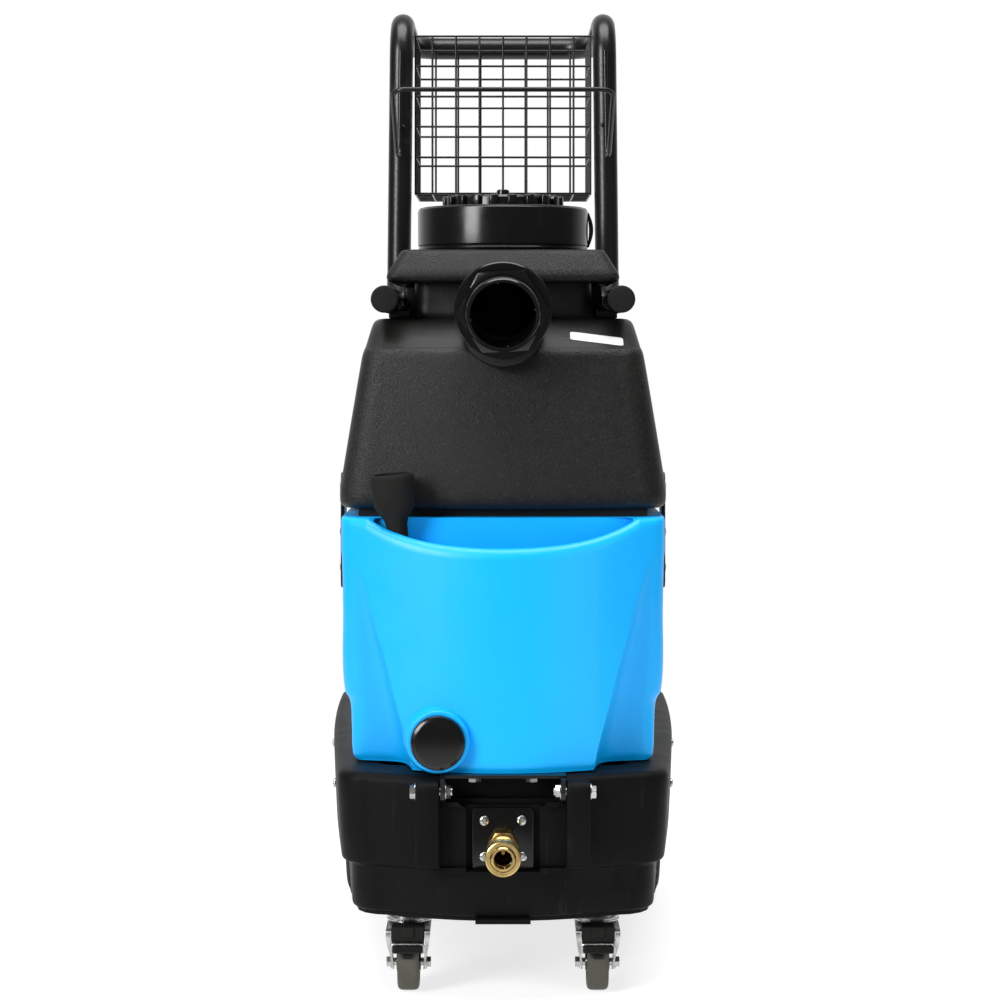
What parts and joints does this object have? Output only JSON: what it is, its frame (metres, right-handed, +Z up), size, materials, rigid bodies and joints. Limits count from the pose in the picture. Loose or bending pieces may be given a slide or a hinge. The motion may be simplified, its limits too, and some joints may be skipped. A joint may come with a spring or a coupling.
{
  "type": "carpet cleaner machine",
  "caption": "Upright portable carpet extractor: wheeled base with motor and pump, tilting stacked tanks, hose inlet, push handle, wire basket and hose hook.",
  "frame": {"origin": "on the floor, midway between the casters' and the handle's furthest reach, on the centreline", "axes": "+X to the machine's right as seen from its front, -Y is the front where the hose inlet and the coupler are, +Z up"},
  "size_m": [0.364, 0.763, 0.9607],
  "materials": {
    "black_shell": "pebbled moulded polyethylene",
    "black_gloss": "smooth moulded",
    "blue_tank": "satin moulded polyethylene",
    "black_tube": "satin powder coat",
    "zinc": "bright zinc plate",
    "steel": "drawn bar",
    "motor_casing": "cast and spun",
    "brass": "turned, lightly tarnished",
    "rubber": "matt",
    "tread": "grey elastic tread",
    "white_plastic": "moulded"
  },
  "bodies": {
    "base": {"base_housing": "black_shell", "base_pan": "black_shell", "vacuum_motor": "motor_casing", "pump_motor": "motor_casing", "pump_head": "white_plastic", "pump_saddle": "zinc", "hose_plate": "black_shell", "coupler_body": "brass", "caster_plate_left": "zinc", "caster_plate_right": "zinc", "rear_axle": "steel", "hinge_bolt_left": "zinc", "hinge_bolt_right": "zinc", "switch_panel": "black_gloss", "power_lamp": "white_plastic", "power_inlet": "black_gloss"},
    "tanks": {"recovery_tank": "black_shell", "top_cover": "black_shell", "lid_ring": "black_shell", "float_cage": "black_shell", "inlet_fitting": "black_gloss", "inlet_nut": "black_gloss", "dump_valve": "black_gloss", "solution_tank": "blue_tank", "handle_frame": "black_tube", "hose_hook": "black_tube", "basket_front": "black_tube", "basket_rear": "black_tube", "basket_left": "black_tube", "basket_right": "black_tube", "basket_floor": "black_tube", "side_plate_left": "black_tube", "side_plate_right": "black_tube", "hinge_leaf": "black_tube", "rail_bracket_front_left": "black_tube", "rail_bracket_front_right": "black_tube", "rail_bracket_rear_left": "black_tube", "rail_bracket_rear_right": "black_tube", "leaf_bolt_left": "zinc", "leaf_bolt_right": "zinc", "filler_funnel": "rubber", "rail_cap_left": "rubber", "rail_cap_right": "rubber", "tank_gasket": "rubber", "standpipe": "white_plastic"},
    "coupler_sleeve": {"coupler_sleeve": "brass"},
    "caster_left": {"caster_fork_left": "zinc"},
    "caster_right": {"caster_fork_right": "zinc"},
    "caster_wheel_left": {"caster_wheel_left": "tread"},
    "caster_wheel_right": {"caster_wheel_right": "tread"},
    "brake_pedal_left": {"brake_pedal_left": "steel"},
    "brake_pedal_right": {"brake_pedal_right": "steel"},
    "rear_wheel_left": {"rear_wheel_left": "rubber"},
    "rear_wheel_right": {"rear_wheel_right": "rubber"},
    "drain_cap": {"drain_cap": "black_gloss"},
    "lid_cap": {"lid_cap": "black_gloss"},
    "float_ball": {"float_ball": "white_plastic"},
    "vacuum_switch": {"vacuum_switch": "black_gloss"},
    "pump_switch": {"pump_switch": "black_gloss"},
    "dump_lever": {"dump_lever": "rubber"}
  },
  "joints": [
    {"name": "tank_tilt", "type": "hinge", "parent": "base", "child": "tanks", "pos_m": [0, -0.3099, 0.194], "axis": [1, 0, 0], "range_deg": [0, 75]},
    {"name": "coupler_release", "type": "slide", "parent": "base", "child": "coupler_sleeve", "axis": [0, 1, 0], "range_m": [0, 0.006], "stiffness_N_per_m": 300, "springref_m": -0.004},
    {"name": "caster_swivel_left", "type": "hinge", "parent": "base", "child": "caster_left", "pos_m": [-0.0875, -0.2324, 0.06], "axis": [0, 0, 1], "continuous": true},
    {"name": "caster_roll_left", "type": "hinge", "parent": "caster_left", "child": "caster_wheel_left", "pos_m": [-0.0875, -0.2524, 0.0255], "axis": [1, 0, 0], "continuous": true},
    {"name": "brake_press_left", "type": "hinge", "parent": "caster_left", "child": "brake_pedal_left", "pos_m": [-0.0875, -0.2754, 0.0515], "axis": [1, 0, 0], "range_deg": [0, 18]},
    {"name": "rear_wheel_roll_left", "type": "hinge", "parent": "base", "child": "rear_wheel_left", "pos_m": [-0.153, 0.1436, 0.089], "axis": [1, 0, 0], "continuous": true},
    {"name": "caster_swivel_right", "type": "hinge", "parent": "base", "child": "caster_right", "pos_m": [0.0875, -0.2324, 0.06], "axis": [0, 0, 1], "continuous": true},
    {"name": "caster_roll_right", "type": "hinge", "parent": "caster_right", "child": "caster_wheel_right", "pos_m": [0.0875, -0.2524, 0.0255], "axis": [1, 0, 0], "continuous": true},
    {"name": "brake_press_right", "type": "hinge", "parent": "caster_right", "child": "brake_pedal_right", "pos_m": [0.0875, -0.2754, 0.0515], "axis": [1, 0, 0], "range_deg": [0, 18]},
    {"name": "rear_wheel_roll_right", "type": "hinge", "parent": "base", "child": "rear_wheel_right", "pos_m": [0.153, 0.1436, 0.089], "axis": [1, 0, 0], "continuous": true},
    {"name": "drain_cap_turn", "type": "hinge", "parent": "tanks", "child": "drain_cap", "pos_m": [-0.059, -0.3057, 0.238], "axis": [0, -1, 0], "continuous": true},
    {"name": "lid_lift", "type": "slide", "parent": "tanks", "child": "lid_cap", "axis": [0, 0, 1], "range_m": [0, 0.06]},
    {"name": "float_rise", "type": "slide", "parent": "tanks", "child": "float_ball", "axis": [0, 0, 1], "range_m": [0, 0.0105]},
    {"name": "dump_lever_turn", "type": "hinge", "parent": "tanks", "child": "dump_lever", "pos_m": [0.075, 0.2334, 0.47], "axis": [0, 1, 0], "range_deg": [0, 90]},
    {"name": "vacuum_switch_rock", "type": "hinge", "parent": "base", "child": "vacuum_switch", "pos_m": [-0.04, 0.2599, 0.165], "axis": [1, 0, 0], "range_deg": [-12, 0]},
    {"name": "pump_switch_rock", "type": "hinge", "parent": "base", "child": "pump_switch", "pos_m": [0.04, 0.2599, 0.165], "axis": [1, 0, 0], "range_deg": [-12, 0]}
  ]
}
